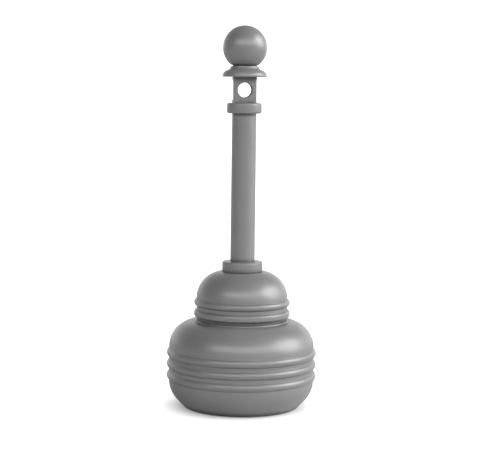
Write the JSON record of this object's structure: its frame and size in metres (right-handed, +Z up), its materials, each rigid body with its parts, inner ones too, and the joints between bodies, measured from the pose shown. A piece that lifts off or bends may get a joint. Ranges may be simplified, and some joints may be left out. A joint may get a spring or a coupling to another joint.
{
  "type": "ashtray bin",
  "caption": "Free-standing smokers' ashtray bin: a square inlet head with a ball finial on a hollow post, over a round base with a lift-out pail.",
  "frame": {"origin": "centre of the footprint on the ground, where the feet stand", "axes": "+Z up along the post; the inlet holes face -Y and +Y; the pail's ears lie on X"},
  "size_m": [0.3946, 0.3946, 1.0045],
  "materials": {
    "grey_plastic": "satin moulded plastic",
    "screw_steel": "plated steel",
    "zinc_sheet": "galvanised steel",
    "cast_iron": "painted cast iron",
    "rubber": "matt rubber",
    "brass": "turned brass",
    "grip_plastic": "moulded plastic"
  },
  "bodies": {
    "base": {"shoulder_shell": "grey_plastic", "base_bowl": "grey_plastic", "seam_screws": "screw_steel", "seam_nuts": "screw_steel", "ballast_weight": "cast_iron", "rubber_feet": "rubber", "foot_bolts": "screw_steel"},
    "pail": {"pail_shell": "zinc_sheet", "pail_floor": "zinc_sheet", "ear_left": "zinc_sheet", "ear_right": "zinc_sheet", "ear_rivets": "screw_steel"},
    "bail": {"bail_handle": "zinc_sheet"},
    "grip": {"bail_grip": "grip_plastic"},
    "head": {"ball_finial": "grey_plastic", "finial_plug": "brass", "finial_stud": "screw_steel", "finial_washer": "screw_steel", "finial_nut": "screw_steel", "rain_cap": "grey_plastic", "cap_screws": "screw_steel", "inlet_head": "grey_plastic", "collar_screws": "screw_steel", "upper_collar": "grey_plastic", "post_top_screws": "screw_steel", "post_tube": "grey_plastic", "lower_collar": "grey_plastic", "grub_screws": "screw_steel", "post_socket": "grey_plastic", "socket_screws": "screw_steel", "dome_cover": "grey_plastic"}
  },
  "joints": [
    {"name": "pail_lift", "type": "slide", "parent": "base", "child": "pail", "axis": [0, 0, 1], "range_m": [0, 0.25]},
    {"name": "head_lift", "type": "slide", "parent": "pail", "child": "head", "axis": [0, 0, 1], "range_m": [0, 0.15]},
    {"name": "bail_swing", "type": "hinge", "parent": "pail", "child": "bail", "pos_m": [0, 0, 0.2233], "axis": [-1, 0, 0], "range_deg": [0, 151.83]},
    {"name": "grip_turn", "type": "hinge", "parent": "bail", "child": "grip", "pos_m": [0, -0.09095, 0.2461], "axis": [1, 0, 0], "continuous": true}
  ]
}
